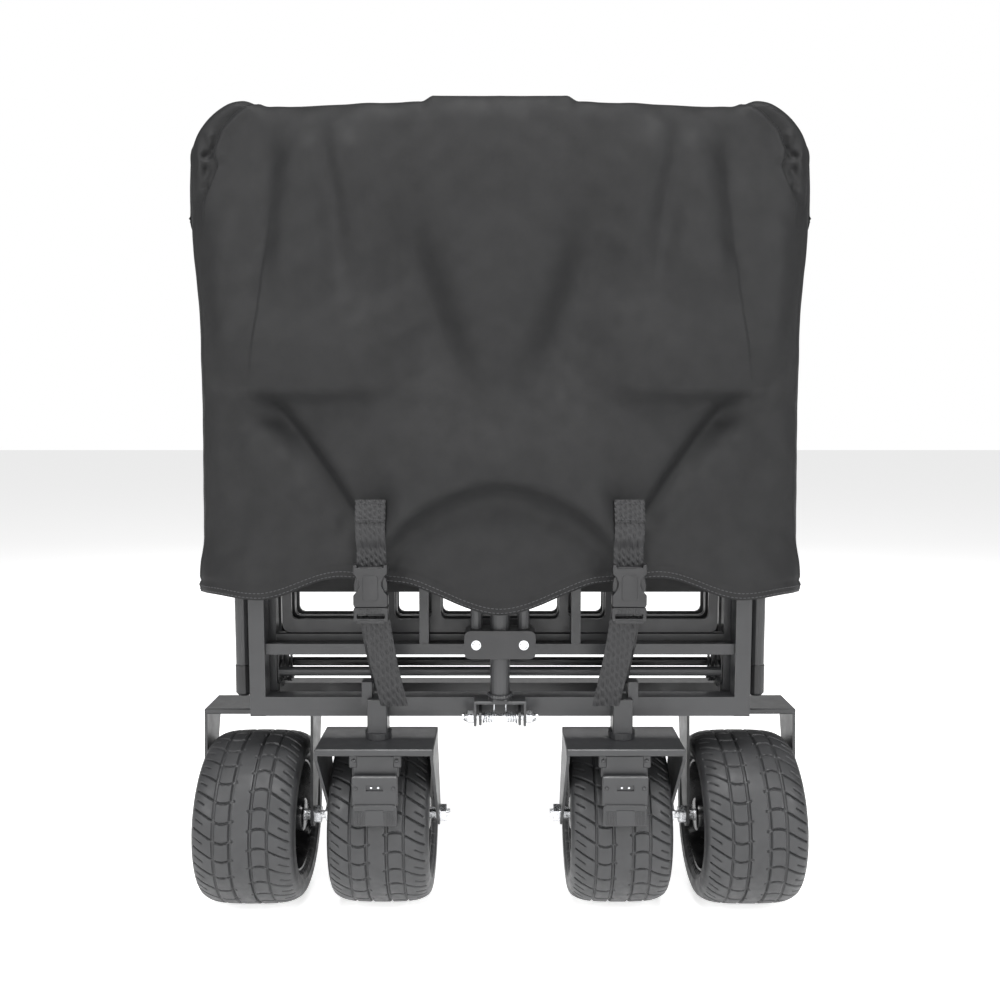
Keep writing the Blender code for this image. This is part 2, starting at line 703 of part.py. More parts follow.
def tub():
    """The folded tub: a flat ring of fabric round the floor pieces, open above and below."""
    outer = box((-0.2338, -0.0262, 0.3400), (0.2338, 0.0262, 0.6200))
    inner = box((-0.2300, -0.0228, 0.3300), (0.2300, 0.0228, 0.6300))
    node("tub_fabric", joined([outer], [inner]), "fabric")


# ---- assembly: one empty on each moving body's axis, under the body that carries it ----


def body(name, parent, pivot, parts):
    """An empty at the body's pivot, with its parts under it."""
    empty = bpy.data.objects.new(name, None)
    empty.empty_display_size = 0.03
    WAGON.objects.link(empty)
    base = Vector(pivot)
    if parent:
        empty.parent = bpy.data.objects[parent]
        base = base - PIVOTS[parent]
    PIVOTS[name] = Vector(pivot)
    empty.location = base
    for part in parts:
        shape = bpy.data.objects[part]
        shape.data.transform(Matrix.Translation(-PIVOTS[name]))
        shape.parent = empty


def assemble():
    mid = HALF_GAP / 2
    middle_z = PIVOT_Z + STRUT / 2
    sides = ("left", "right")
    body("wagon", None, (0, 0, 0), [])
    fixed = ["front_frame", "handle_pivot_bolt", "handle_spring", "tub_fabric"]
    fixed += [part + side for part in ("buckle_plug_", "strap_tail_") for side in sides]
    body("front_end", "wagon", (0, 0, 0), fixed)
    inner_struts = ["inner_strut_front_" + side for side in sides]
    body("struts_a_front", "front_end", (0, -HALF_GAP, PIVOT_Z), inner_struts)
    body("struts_a_rear", "struts_a_front", (0, 0, TOP_Z), ["inner_strut_rear_" + side for side in sides])
    body("rear_end", "struts_a_rear", (0, HALF_GAP, PIVOT_Z), rear_parts(sides))
    for end, way in (("front", -1), ("rear", 1)):
        outer = "struts_b_" + end
        parts = ["outer_struts_" + end] + [f"strut_foot_{end}_{side}" for side in sides]
        body(outer, "struts_a_" + end, (0, way * mid, middle_z), parts)
        posts = [f"telescoping_post_{end}_{side}" for side in sides]
        body("posts_" + end, outer, (0, way * HALF_GAP, TOP_Z), posts)
        halves = ["floor_tube_" + end, "floor_panel_" + end]
        body("floor_" + end, end + "_end", (0, way * HALF_GAP, PIVOT_Z), halves)
        body("flap_" + end, outer, (0, 0, PIVOT_Z), ["floor_flap_" + end])
    for side, s in (("left", -1), ("right", 1)):
        x = s * CASTER_X
        swivel = ["caster_fork_" + side, "caster_axle_" + side, "brake_housing_" + side]
        body("caster_" + side, "front_end", (x, SWIVEL_Y, 0.1960), swivel)
        hub = (x, CASTER_AXLE_Y, TYRE_RADIUS)
        body("caster_wheel_" + side, "caster_" + side, hub, ["caster_tyre_" + side, "caster_rim_" + side])
        body("brake_" + side, "caster_" + side, (x, PEDAL_PIVOT[0], PEDAL_PIVOT[1]), ["brake_pedal_" + side])
        hub = (s * REAR_WHEEL_X, REAR_AXLE_Y, TYRE_RADIUS)
        body("rear_wheel_" + side, "rear_end", hub, ["rear_tyre_" + side, "rear_rim_" + side])
    pivot = (0, HANDLE_Y, HANDLE_PIVOT_Z)
    body("handle", "front_end", pivot, ["handle_tube", "handle_guide"])
    body("handle_slider", "handle", pivot, ["handle_clamp", "handle_rods", "handle_grip"])
    body("button", "handle_slider", (0, HANDLE_Y, GRIP_Z), ["grip_button"])
    parts = ["cover"] + [part + side for part in ("cover_strap_", "buckle_socket_") for side in sides]
    body("cover_body", "front_end", (0, 0, COVER_Z[1]), parts)
    bpy.data.objects["wagon"].location = (0, BASE_Y, 0)


def rear_parts(sides):
    return ["rear_frame"] + [part + side for part in ("rear_wheel_bracket_", "rear_axle_") for side in sides]


PIVOTS = {}
wheels()
front_frame()
rear_frame()
struts()
floor_half("front", -1)
floor_half("rear", 1)
handle()
cover()
strap("left", -1)
strap("right", 1)
tub()
assemble()
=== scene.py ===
"""Looks for the folding camp wagon: cover, webbing, buckles, treaded tyres, rims and every finish.

Metres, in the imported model's frame: +Z up, the handle end towards -Y, floor at z = 0.
"""

import json
import math

import bmesh
import bpy
import numpy as np
from mathutils import Matrix, Vector


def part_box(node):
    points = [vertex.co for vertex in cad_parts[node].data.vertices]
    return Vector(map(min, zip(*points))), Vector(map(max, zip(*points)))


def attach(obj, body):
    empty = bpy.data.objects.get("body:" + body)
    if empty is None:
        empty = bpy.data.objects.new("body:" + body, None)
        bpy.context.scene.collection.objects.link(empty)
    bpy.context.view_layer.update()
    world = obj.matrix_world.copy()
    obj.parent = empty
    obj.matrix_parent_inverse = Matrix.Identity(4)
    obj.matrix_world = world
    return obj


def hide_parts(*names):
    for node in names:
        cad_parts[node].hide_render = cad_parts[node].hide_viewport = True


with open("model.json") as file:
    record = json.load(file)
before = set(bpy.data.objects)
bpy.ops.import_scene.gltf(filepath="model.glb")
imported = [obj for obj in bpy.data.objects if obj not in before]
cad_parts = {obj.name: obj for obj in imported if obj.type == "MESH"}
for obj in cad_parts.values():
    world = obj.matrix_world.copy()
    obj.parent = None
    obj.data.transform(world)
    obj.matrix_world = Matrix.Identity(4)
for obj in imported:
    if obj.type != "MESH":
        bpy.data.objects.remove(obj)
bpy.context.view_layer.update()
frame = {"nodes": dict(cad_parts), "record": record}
NODES = frame["nodes"]
SIDES = (("left", -1), ("right", 1))
BODY_OF = {node: body for body, nodes in frame["record"]["behaviour"]["bodies"].items() for node in nodes}


# ---- camera, light and floor ----

CAMERA_AT = (0.0, -0.99435, 0.5213)
CAMERA_PITCH = 85
CAMERA_LENS = 34.2
AMBIENT = 0.18
FLOOR_GLOW = 0.66


def set_camera():
    camera = bpy.data.cameras.new("camera")
    camera.lens = CAMERA_LENS
    camera.sensor_width = 36
    camera.clip_start = 0.05
    holder = bpy.data.objects.new("camera", camera)
    holder.location = CAMERA_AT
    holder.rotation_euler = (math.radians(CAMERA_PITCH), 0, 0)
    bpy.context.scene.collection.objects.link(holder)
    bpy.context.scene.camera = holder


def area_light(name, place, aim, size, watts):
    light = bpy.data.lights.new(name, "AREA")
    light.shape = "RECTANGLE"
    light.size, light.size_y = size
    light.energy = watts
    holder = bpy.data.objects.new(name, light)
    holder.location = place
    direction = Vector(aim) - Vector(place)
    holder.rotation_euler = direction.to_track_quat("-Z", "Y").to_euler()
    bpy.context.scene.collection.objects.link(holder)


def set_light():
    scene = bpy.context.scene
    scene.view_settings.view_transform = "Standard"
    world = bpy.data.worlds.new("studio")
    world.use_nodes = True
    tree = world.node_tree
    background = tree.nodes["Background"]
    background.inputs["Color"].default_value = (1, 1, 1, 1)
    background.inputs["Strength"].default_value = AMBIENT
    backdrop = tree.nodes.new("ShaderNodeBackground")
    backdrop.inputs["Color"].default_value = (1, 1, 1, 1)
    mix = tree.nodes.new("ShaderNodeMixShader")
    path = tree.nodes.new("ShaderNodeLightPath")
    tree.links.new(path.outputs["Is Camera Ray"], mix.inputs[0])
    tree.links.new(background.outputs[0], mix.inputs[1])
    tree.links.new(backdrop.outputs[0], mix.inputs[2])
    tree.links.new(mix.outputs[0], tree.nodes["World Output"].inputs["Surface"])
    scene.world = world
    area_light("top_key", (0.0, -0.9, 2.2), (0, 0, 0.5), (1.2, 0.7), 40)
    area_light("front_left", (-1.7, -1.6, 1.3), (0, 0, 0.5), (0.7, 1.0), 30)
    area_light("front_right", (1.7, -1.6, 1.3), (0, 0, 0.5), (0.7, 1.0), 30)
    area_light("low_fill", (0.0, -2.4, 0.5), (0, 0, 0.2), (1.8, 0.6), 14)
    area_light("back_light", (0.0, 1.8, 1.6), (0, 0, 0.3), (2.0, 0.8), 20)


# ---- materials ----


class Shader:
    """A Principled material with a few short calls for its procedural nodes."""

    def __init__(self, name, color, roughness, metallic=0.0, **sockets):
        self.material = bpy.data.materials.new(name)
        self.material.use_nodes = True
        self.tree = self.material.node_tree
        self.principled = self.tree.nodes["Principled BSDF"]
        self.base = color
        self.principled.inputs["Base Color"].default_value = (*color, 1)
        self.principled.inputs["Roughness"].default_value = roughness
        self.principled.inputs["Metallic"].default_value = metallic
        for socket, value in sockets.items():
            self.principled.inputs[socket.replace("_", " ")].default_value = value
        self.place = self.tree.nodes.new("ShaderNodeTexCoord").outputs["Object"]
        self.height = None

    def add(self, kind, **inputs):
        node = self.tree.nodes.new(kind)
        for socket, value in inputs.items():
            target = node.inputs[socket.replace("_", " ")]
            if hasattr(value, "is_output"):
                self.tree.links.new(value, target)
            else:
                target.default_value = value
        return node

    def noise(self, scale, detail=3.0, rough=0.5):
        settings = {"Vector": self.place, "Scale": scale, "Detail": detail, "Roughness": rough}
        return self.add("ShaderNodeTexNoise", **settings).outputs["Fac"]

    def wave(self, scale, direction, distortion=0.0):
        node = self.add("ShaderNodeTexWave", Vector=self.place, Scale=scale, Distortion=distortion)
        node.bands_direction = direction
        return node.outputs["Fac"]

    def ramp(self, value, low, high, from_low=0.3, from_high=0.7):
        node = self.add("ShaderNodeMapRange", Value=value)
        node.inputs["From Min"].default_value = from_low
        node.inputs["From Max"].default_value = from_high
        node.inputs["To Min"].default_value = low
        node.inputs["To Max"].default_value = high
        return node.outputs["Result"]

    def math(self, operation, first, second):
        node = self.tree.nodes.new("ShaderNodeMath")
        node.operation = operation
        for socket, value in zip(node.inputs, (first, second)):
            if hasattr(value, "is_output"):
                self.tree.links.new(value, socket)
            else:
                socket.default_value = value
        return node.outputs["Value"]

    def tint(self, value, darker, lighter):
        """Varies the base colour between two multiples of it."""
        node = self.tree.nodes.new("ShaderNodeMix")
        node.data_type = "RGBA"
        self.tree.links.new(value, node.inputs[0])
        node.inputs[6].default_value = (*[c * darker for c in self.base], 1)
        node.inputs[7].default_value = (*[c * lighter for c in self.base], 1)
        self.tree.links.new(node.outputs[2], self.principled.inputs["Base Color"])

    def rough(self, value):
        self.tree.links.new(value, self.principled.inputs["Roughness"])

    def bump(self, value, distance, strength=1.0):
        node = self.add("ShaderNodeBump", Height=value, Distance=distance, Strength=strength)
        if self.height is not None:
            self.tree.links.new(self.height, node.inputs["Normal"])
        self.height = node.outputs["Normal"]
        self.tree.links.new(self.height, self.principled.inputs["Normal"])


def powder_coat(name, color):
    """Satin powder coat: fine orange peel, soft patches of gloss and a little handling dust."""
    paint = Shader(name, color, 0.42, Coat_Weight=0.18, Coat_Roughness=0.28)
    patches = paint.noise(24, 4)
    paint.tint(patches, 0.86, 1.16)
    paint.rough(paint.ramp(paint.noise(70, 4), 0.36, 0.5))
    paint.bump(paint.noise(1500, 2), 0.00012, 0.5)
    paint.bump(paint.noise(160, 2), 0.0002, 0.25)
    return paint.material


def zinc_plate():
    zinc = Shader("zinc", (0.72, 0.73, 0.75), 0.26, 1.0)
    zinc.tint(zinc.noise(260, 3), 0.8, 1.12)
    zinc.rough(zinc.ramp(zinc.noise(500, 4), 0.2, 0.38))
    zinc.bump(zinc.wave(300, "Z", 6), 0.00005, 0.3)
    return zinc.material


def moulded_plastic(name, color, low, high, grain):
    plastic = Shader(name, color, high)
    plastic.tint(plastic.noise(35, 3), 0.88, 1.12)
    plastic.rough(plastic.ramp(plastic.noise(90, 3), low, high))
    plastic.bump(plastic.noise(grain, 2), 0.00008, 0.35)
    return plastic.material


def tyre_rubber():
    """Moulded tread: dull rubber with fine grain, mould bloom and scuffed patches."""
    rubber = Shader("tyre_rubber", (0.030, 0.0305, 0.032), 0.50)
    bloom = rubber.noise(28, 5, 0.6)
    rubber.tint(bloom, 0.72, 1.3)
    rubber.rough(rubber.ramp(rubber.noise(120, 4), 0.40, 0.62))
    rubber.bump(rubber.noise(900, 3), 0.00018, 0.5)
    rubber.bump(rubber.noise(140, 3), 0.0003, 0.25)
    return rubber.material


def woven_fabric():
    """Coated oxford cloth: plain weave, a soft sheen, and slight unevenness in the dye."""
    surface = {"Sheen_Weight": 0.025, "Sheen_Roughness": 0.35, "Specular_IOR_Level": 0.30}
    cloth = Shader("cover_fabric", (0.0075, 0.0076, 0.0080), 0.58, **surface)
    cloth.principled.inputs["Sheen Tint"].default_value = (0.85, 0.87, 0.9, 1)
    cloth.tint(cloth.noise(420, 3), 0.86, 1.16)
    cloth.rough(cloth.ramp(cloth.noise(55, 3), 0.54, 0.68))
    warp = cloth.wave(330, "X", 0.4)
    weft = cloth.wave(330, "Z", 0.4)
    cloth.bump(cloth.math("MULTIPLY", warp, weft), 0.00022, 0.55)
    return cloth.material


def webbing_weave():
    """Coarse polypropylene webbing: slanted ribs, crossed by cords that run along it."""
    band = Shader("webbing", (0.011, 0.011, 0.012), 0.58, Sheen_Weight=0.04, Sheen_Roughness=0.4)
    band.tint(band.noise(120, 3), 0.7, 1.5)
    ribs = band.wave(95, "DIAGONAL", 0.6)
    cords = band.wave(70, "X", 0.5)
    band.bump(band.math("MULTIPLY", ribs, cords), 0.0011, 1.0)
    return band.material


PAINT = powder_coat("powder_coat", (0.023, 0.0235, 0.025))
# The same powder coat, darker, for the rear frame, rear struts and floor tubes: painted shade for parts that
# sit behind in shadow.
SHADED_PAINT = powder_coat("powder_coat_painted_shade", (0.011, 0.0113, 0.012))
ZINC = zinc_plate()
PLASTIC = moulded_plastic("black_plastic", (0.013, 0.013, 0.014), 0.34, 0.5, 1100)
GLOSS = moulded_plastic("rim_gloss", (0.012, 0.012, 0.013), 0.16, 0.3, 500)
RUBBER = tyre_rubber()
FABRIC = woven_fabric()
WEBBING = webbing_weave()
THREAD = moulded_plastic("thread", (0.045, 0.045, 0.048), 0.6, 0.8, 2500)


# ---- mesh tools ----


def piece(name, verts, faces, material, angle=40):
    """A new mesh object, smooth except across edges sharper than the angle."""
    mesh = bpy.data.meshes.new(name)
    mesh.from_pydata([tuple(map(float, v)) for v in verts], [], [tuple(map(int, f)) for f in faces])
    return finish_mesh(name, mesh, material, angle)


def finish_mesh(name, mesh, material, angle=40):
    bm = bmesh.new()
    bm.from_mesh(mesh)
    bmesh.ops.recalc_face_normals(bm, faces=bm.faces[:])
    bm.to_mesh(mesh)
    bm.free()
    mesh.materials.append(material)
    mesh.shade_smooth()
    mesh.set_sharp_from_angle(angle=math.radians(angle))
    made = bpy.data.objects.new(name, mesh)
    bpy.context.scene.collection.objects.link(made)
    return made


def bevel(obj, width, segments=2):
    modifier = obj.modifiers.new("bevel", "BEVEL")
    modifier.width = width
    modifier.segments = segments
    modifier.limit_method = "ANGLE"
    modifier.angle_limit = math.radians(38)
    modifier.harden_normals = False
    return obj


def grid_faces(rows, columns, wrap=False):
    """Quads of a grid whose vertices run along its columns first. wrap joins the last row to the first."""
    index = np.arange(rows * columns).reshape(rows, columns)
    if wrap:
        index = np.vstack([index, index[:1]])
    return np.stack([index[:-1, :-1], index[:-1, 1:], index[1:, 1:], index[1:, :-1]], -1).reshape(-1, 4)


def lathe(name, profile, steps, centre, axis, material, angle=40):
    """A profile of (distance along the axis, radius) turned round an axis through the centre."""
    turn = Vector(axis).normalized().to_track_quat("Z", "Y").to_matrix()
    verts = []
    for n in range(steps):
        a = 2 * math.pi * n / steps
        for along, radius in profile:
            spot = turn @ Vector((radius * math.cos(a), radius * math.sin(a), along))
            verts.append(spot + Vector(centre))
    made = piece(name, verts, grid_faces(steps, len(profile), wrap=True), material, angle)
    bm = bmesh.new()
    bm.from_mesh(made.data)
    bmesh.ops.remove_doubles(bm, verts=bm.verts, dist=1e-6)
    bm.to_mesh(made.data)
    bm.free()
    return made


def block(low, high, softness=0.0, taper=1.0):
    """(verts, faces) of a box with its edges cut back, narrower at the top by taper."""
    bm = bmesh.new()
    bmesh.ops.create_cube(bm, size=1.0)
    low, high = Vector(low), Vector(high)
    for vert in bm.verts:
        scale = taper if vert.co.z > 0 else 1.0
        vert.co.x *= scale
    bmesh.ops.scale(bm, vec=high - low, verts=bm.verts)
    bmesh.ops.translate(bm, vec=(low + high) / 2, verts=bm.verts)
    if softness:
        bmesh.ops.bevel(bm, geom=bm.edges[:], offset=softness, segments=3, affect="EDGES", profile=0.5)
    return taken(bm)


def taken(bm):
    bm.verts.index_update()
    verts = [v.co.copy() for v in bm.verts]
    faces = [[v.index for v in f.verts] for f in bm.faces]
    bm.free()
    return verts, faces


def outline_solid(outline, y_front, y_back, softness, holes=()):
    """(verts, faces) of an (x, z) outline given depth, its front edges rounded."""
    curve = bpy.data.curves.new("outline", "CURVE")
    curve.dimensions = "2D"
    curve.fill_mode = "BOTH"
    curve.extrude = (y_back - y_front) / 2 - softness
    curve.bevel_depth = softness
    curve.bevel_resolution = 2
    curve.offset = -softness
    for ring in (outline, *holes):
        spline = curve.splines.new("POLY")
        spline.points.add(len(ring) - 1)
        for point, (a, b) in zip(spline.points, ring):
            point.co = (a, b, 0, 1)
        spline.use_cyclic_u = True
    holder = bpy.data.objects.new("outline", curve)
    bpy.context.scene.collection.objects.link(holder)
    bpy.context.view_layer.update()
    mesh = bpy.data.meshes.new_from_object(holder.evaluated_get(bpy.context.evaluated_depsgraph_get()))
    bpy.data.objects.remove(holder, do_unlink=True)
    middle = (y_front + y_back) / 2
    mesh.transform(Matrix(((1, 0, 0, 0), (0, 0, -1, middle), (0, 1, 0, 0), (0, 0, 0, 1))))
    bm = bmesh.new()
    bm.from_mesh(mesh)
    bpy.data.meshes.remove(mesh)
    bmesh.ops.remove_doubles(bm, verts=bm.verts, dist=1e-6)
    return taken(bm)


def merged(name, parts, material, angle=40):
    verts, faces = [], []
    for part_verts, part_faces in parts:
        faces += [[i + len(verts) for i in face] for face in part_faces]
        verts += part_verts
    return piece(name, verts, faces, material, angle)


def arc(centre, radius, start, end, steps):
    angles = np.radians(np.linspace(start, end, steps + 1))
    return [(centre[0] + radius * math.cos(a), centre[1] + radius * math.sin(a)) for a in angles]


def rounded(low, high, radius, steps=4):
    corners = ((high[0] - radius, high[1] - radius), (low[0] + radius, high[1] - radius))
    corners += ((low[0] + radius, low[1] + radius), (high[0] - radius, low[1] + radius))
    return [p for n, c in enumerate(corners) for p in arc(c, radius, 90 * n, 90 * n + 90, steps)]


def smooth(value, low, high):
    """0 below low, 1 above high, and a smooth step between."""
    t = np.clip((value - low) / (high - low), 0, 1)
    return t * t * (3 - 2 * t)


def stand_for(made, body, slot, *nodes):
    """The piece rides on the body and hides the CAD nodes it stands for. The slot is not used."""
    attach(made, body)
    if nodes:
        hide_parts(*nodes)
    return made


# ---- cover ----

COVER_LOW, COVER_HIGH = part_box("cover")
SEAM_Y = (COVER_LOW.y + COVER_HIGH.y) / 2 + 0.004
COVER_TOP = COVER_HIGH.z - 0.0028
STRAP_X = (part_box("cover_strap_right")[0].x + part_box("cover_strap_right")[1].x) / 2
COVER_ROWS = 420
COVER_COLUMNS = 401


def blended(value, places, heights):
    """Heights at places, joined by smooth steps."""
    result = np.full_like(value, heights[0])
    for n in range(1, len(places)):
        result += (heights[n] - heights[n - 1]) * smooth(value, places[n - 1], places[n])
    return result


def cover_half_width(z):
    places = (0.340, 0.362, 0.400, 0.500, 0.600, 0.725, 0.770)
    return blended(z, places, (0.3050, 0.3090, 0.3055, 0.3045, 0.3030, 0.3085, 0.3110))


def front_hem(x):
    return blended(abs(x), (0.0, 0.098, 0.150, 0.235, 0.285), (0.3290, 0.3600, 0.3660, 0.3430, 0.3470))


def back_hem(x):
    return blended(abs(x), (0.0, 0.120, 0.200, 0.285), (0.3400, 0.3480, 0.3420, 0.3470))


def top_line(x):
    """Height of the cover's top edge: a low step over the grip, raised shoulders, and falling corners."""
    a = abs(x)
    top = COVER_TOP - 0.0085 + 0.0055 * (1 - smooth(a, 0.062, 0.074)) + 0.0110 * smooth(a, 0.218, 0.250)
    fall = np.clip((a - 0.2460) / 0.0625, 0, 1)
    return top - 0.0740 * (1 - np.sqrt(np.clip(1 - fall**1.8, 0, 1)))


def front_middle(z):
    """The front sheet's place over the handle."""
    heights = (0.330, 0.400, 0.470, 0.560, 0.700, 0.800)
    return blended(z, heights, (-0.0800, -0.0880, -0.0850, -0.0800, -0.0810, -0.0835))


def front_side(z):
    """The front sheet's place near the corner posts."""
    heights = (0.330, 0.420, 0.530, 0.590, 0.690, 0.790)
    return blended(z, heights, (-0.0700, -0.0600, -0.0570, -0.0680, -0.0690, -0.0640))


def front_depth(x, z):
    inner = blended(z, (0.36, 0.46, 0.56), (0.120, 0.090, 0.050))
    outer = blended(z, (0.36, 0.50), (0.300, 0.275))
    share = 1 - smooth(abs(x), inner, outer)
    return front_side(z) + (front_middle(z) - front_side(z)) * share


def back_depth(x, z):
    return 0.050 + 0.006 * np.cos(x * 9) * blended(z, (0.36, 0.56, 0.80), (0.6, 1.4, 0.2))


def crease(x, z, route, height, width, lower_width=None, fade=0.25):
    """A soft ridge, or a valley if height is below 0, along a route on the right half. It fades at its ends.
    lower_width is the fall on the side below the route, or outside it."""
    best = np.full(x.shape, 1e9)
    side = np.zeros(x.shape)
    along = np.zeros(x.shape)
    total = sum(math.dist(a, b) for a, b in zip(route, route[1:]))
    done = 0.0
    for a, b in zip(route, route[1:]):
        length = math.dist(a, b)
        ux, uz = (b[0] - a[0]) / length, (b[1] - a[1]) / length
        px, pz = x - a[0], z - a[1]
        t = np.clip(px * ux + pz * uz, 0, length)
        distance = np.hypot(px - t * ux, pz - t * uz)
        nearer = distance < best
        best = np.where(nearer, distance, best)
        side = np.where(nearer, px * uz - pz * ux, side)
        along = np.where(nearer, (done + t) / total, along)
        done += length
    spread = np.where(side > 0, width, lower_width or width)
    ends = smooth(along, 0, fade) * (1 - smooth(along, 1 - fade, 1))
    return height * ends * np.exp(-((best / spread) ** 2))


def front_folds(x, z):
    """How far the front sheet stands out of its base shape, made for the right half and mirrored."""
    a = abs(x)
    shelf = [(0.296, 0.568), (0.240, 0.556), (0.160, 0.551), (0.072, 0.556)]
    out = crease(a, z, shelf, 0.0185, 0.085, 0.018, 0.34)
    diagonal = [(0.236, 0.548), (0.200, 0.502), (0.165, 0.455), (0.128, 0.400)]
    out -= crease(a, z, diagonal, 0.0135, 0.011, 0.016, 0.20)
    out += crease(a, z, [(0.250, 0.520), (0.225, 0.480), (0.190, 0.425)], 0.0050, 0.024)
    valley = [(0.112, 0.770), (0.090, 0.680), (0.058, 0.590), (0.016, 0.495)]
    out -= crease(a, z, valley, 0.0210, 0.026, 0.052, 0.42)
    out += crease(a, z, [(0.168, 0.815), (0.188, 0.720), (0.200, 0.620)], 0.0110, 0.032)
    out += crease(a, z, [(0.150, 0.814), (0.136, 0.730), (0.120, 0.640)], 0.0060, 0.018)
    out -= crease(a, z, [(0.172, 0.812), (0.160, 0.730), (0.150, 0.620)], 0.0050, 0.012)
    out -= crease(a, z, [(0.215, 0.800), (0.222, 0.730), (0.226, 0.650)], 0.0050, 0.014)
    out += crease(a, z, [(0.262, 0.720), (0.268, 0.640), (0.262, 0.570)], 0.0050, 0.016)
    arch = 0.4640 - 4.6 * a**2
    below = arch - z
    bulge = smooth(0.140 - a, 0, 0.05)
    out += bulge * 0.0170 * np.exp(-((below / np.where(below > 0, 0.013, 0.050)) ** 2))
    out -= bulge * 0.0080 * np.exp(-(((below - 0.034) / 0.022) ** 2))
    out += 0.0060 * np.exp(-((a / 0.080) ** 2)) * np.exp(-(((z - 0.350) / 0.026) ** 2))
    out += 0.0100 * np.exp(-(((a - 0.250) / 0.038) ** 2)) * np.exp(-(((z - 0.352) / 0.034) ** 2))
    pressed = 0.0050 * np.exp(-(((a - STRAP_X) / 0.018) ** 2))
    out -= pressed * smooth(z, 0.36, 0.40) * (1 - smooth(z, 0.44, 0.47))
    out += 0.0009 * np.sin(a * 61 + z * 23) * np.sin(z * 37 - a * 19)
    out += 0.0005 * np.sin(a * 143 + z * 71 + 1.3) * np.sin(z * 117 + 0.7)
    return out


EAR_EDGE = [(0.2300, 0.8200), (0.2480, 0.8080), (0.2640, 0.7930)]
EAR_EDGE += [(0.2705, 0.7760), (0.2710, 0.7600), (0.2860, 0.7280)]


def ear_recess(x, z):
    """How far the corner of the bag stands back behind the pleat that hangs over the strut's top."""
    a = abs(x)
    edge = np.interp(-z, [-p[1] for p in EAR_EDGE], [p[0] for p in EAR_EDGE])
    beyond = a - edge
    level = smooth(z, 0.695, 0.765)
    return level * (0.0150 * smooth(beyond, -0.0010, 0.0030) * (1 - 0.45 * smooth(beyond, 0.008, 0.034)))


def ear_folds(x, z):
    """Small facets and tucks inside the corner."""
    a = abs(x)
    out = crease(a, z, EAR_EDGE[:-1], 0.0034, 0.0090, 0.0030, 0.14)
    out += crease(a, z, [(0.282, 0.800), (0.280, 0.784), (0.276, 0.768)], 0.0034, 0.0060, 0.0045)
    out -= crease(a, z, [(0.274, 0.784), (0.282, 0.776), (0.292, 0.772)], 0.0040, 0.0040)
    out += crease(a, z, [(0.290, 0.786), (0.291, 0.762), (0.286, 0.740)], 0.0036, 0.0060, 0.0050)
    out -= crease(a, z, [(0.284, 0.768), (0.288, 0.752), (0.287, 0.738)], 0.0036, 0.0042)
    return out


def cover_points():
    """The bag's sheet as a grid: rows go up the front, over the top and down the back."""
    column = np.linspace(-1, 1, COVER_COLUMNS)
    across = np.sign(column) * (1 - (1 - abs(column)) ** 1.5)
    spot = np.linspace(0, 1, 2001)
    density = 1 + 2.2 * np.exp(-(((abs(spot - 0.5) - 0.085) / 0.045) ** 2))
    reach = np.cumsum(density) - density[0]
    rows = np.interp(np.linspace(0, reach[-1], COVER_ROWS), reach, spot)
    top_share = 0.10
    climb = (1 - top_share) / 2
    u, s = np.meshgrid(across, rows)
    front = s < climb
    back = s > 1 - climb
    rise = np.where(front, s / climb, np.where(back, (1 - s) / climb, 1.0))
    over = np.clip((s - climb) / top_share, 0, 1)
    z = 0.33 + (COVER_TOP - 0.33) * rise
    x = cover_half_width(z) * u
    hem = np.where(s < 0.5, front_hem(x), back_hem(x))
    z = hem + (COVER_TOP - hem) * rise
    x = cover_half_width(z) * u
    squeezed = smooth(z, 0.66, COVER_TOP)
    height = z + squeezed * (top_line(x) - COVER_TOP)
    y_front, y_back = front_depth(x, z), back_depth(x, z)
    edge_round = np.clip((z - (COVER_TOP - 0.024)) / 0.024, 0, 1)
    inset = 0.012 * (1 - np.sqrt(np.clip(1 - edge_round**2, 0, 1)))
    y_front, y_back = y_front + inset, y_back - inset
    flat = y_front + (y_back - y_front) * over
    y = np.where(front, y_front, np.where(back, y_back, flat))
    y = y + np.where(front | back, 0, 0.0016 * np.sin(np.pi * over) * np.sin(x * 40))
    y = y + np.where(s < 0.5, ear_recess(x, height), 0)
    closing = (1 - np.clip(abs(u), 0, 1) ** 13) ** (1 / 2.3)
    y = SEAM_Y + (y - SEAM_Y) * closing
    return x, y, height, s, u


def grid_normals(x, y, z):
    points = np.stack([x, y, z], -1)
    along = np.gradient(points, axis=0)
    aside = np.gradient(points, axis=1)
    normal = np.cross(along, aside)
    length = np.linalg.norm(normal, axis=-1, keepdims=True)
    return normal / np.maximum(length, 1e-9)


def cover_surface():
    x, y, height, s, u = cover_points()
    points = np.stack([x, y, height], -1)
    normal = grid_normals(x, y, height)
    middle = normal[COVER_ROWS // 8, COVER_COLUMNS // 2]
    normal = normal * (-1 if middle[1] > 0 else 1)
    facing = smooth(-normal[..., 1], 0.1, 0.6)
    out = front_folds(x, height) * np.where(s < 0.5, facing, 0)
    out += ear_folds(x, height) * np.where(s < 0.56, 1.0, 0.0) * (1 - smooth(s, 0.46, 0.56))
    rear = smooth(normal[..., 1], 0.1, 0.6) * (s > 0.5)
    out += rear * 0.8 * front_folds(x * 0.93 + 0.004, height)
    hem_line = np.where(s < 0.5, front_hem(x), back_hem(x))
    band = height - hem_line
    out += 0.0014 * (1 - smooth(band, 0.0078, 0.0092))
    out -= 0.0010 * np.exp(-(((band - 0.0098) / 0.0014) ** 2))
    out += 0.0010 * np.exp(-(((abs(u) - 0.972) / 0.005) ** 2)) * (abs(s - 0.5) > 0.05)
    return points + normal * out[..., None], normal


